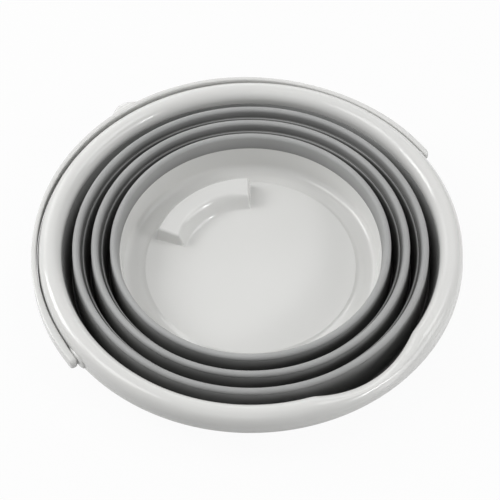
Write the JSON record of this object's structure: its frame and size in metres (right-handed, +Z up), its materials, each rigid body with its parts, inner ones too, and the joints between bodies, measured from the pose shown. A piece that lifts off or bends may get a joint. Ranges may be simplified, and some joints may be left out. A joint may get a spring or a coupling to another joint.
{
  "type": "collapsible bucket",
  "caption": "Round collapsible bucket shown pushed flat: rigid dish base, soft pleated bellows, rolled rim with a pouring spout, and a bail handle folded back round the rim.",
  "frame": {"origin": "centre of the base's flat underside, on the bucket's axis", "axes": "+Z up along the bucket's axis, -Y towards the spout, +X along the handle's pivot axis"},
  "size_m": [0.336, 0.3322, 0.0393],
  "materials": {
    "shell": "gloss moulded polypropylene, near white",
    "bellows": "satin thermoplastic elastomer, mid grey"
  },
  "bodies": {
    "base": {"base": "shell", "base_collar": "bellows", "lower_fold": "bellows"},
    "lower_ring": {"lower_ring": "bellows", "middle_fold": "bellows"},
    "upper_ring": {"upper_ring": "bellows", "upper_fold": "bellows"},
    "rim": {"rim_collar": "bellows", "rim": "shell"},
    "handle": {"handle": "shell"}
  },
  "joints": [
    {"name": "lower_pleat_open", "type": "slide", "parent": "base", "child": "lower_ring", "axis": [0, 0, 1], "range_m": [0, 0.057], "deforming": ["lower_fold"]},
    {"name": "middle_pleat_open", "type": "slide", "parent": "lower_ring", "child": "upper_ring", "axis": [0, 0, 1], "range_m": [0, 0.057], "deforming": ["middle_fold"]},
    {"name": "upper_pleat_open", "type": "slide", "parent": "upper_ring", "child": "rim", "axis": [0, 0, 1], "range_m": [0, 0.057], "deforming": ["upper_fold"]},
    {"name": "handle_swing", "type": "hinge", "parent": "rim", "child": "handle", "pos_m": [0, -0.007, 0.026], "axis": [1, 0, 0], "range_deg": [0, 175.5]}
  ]
}
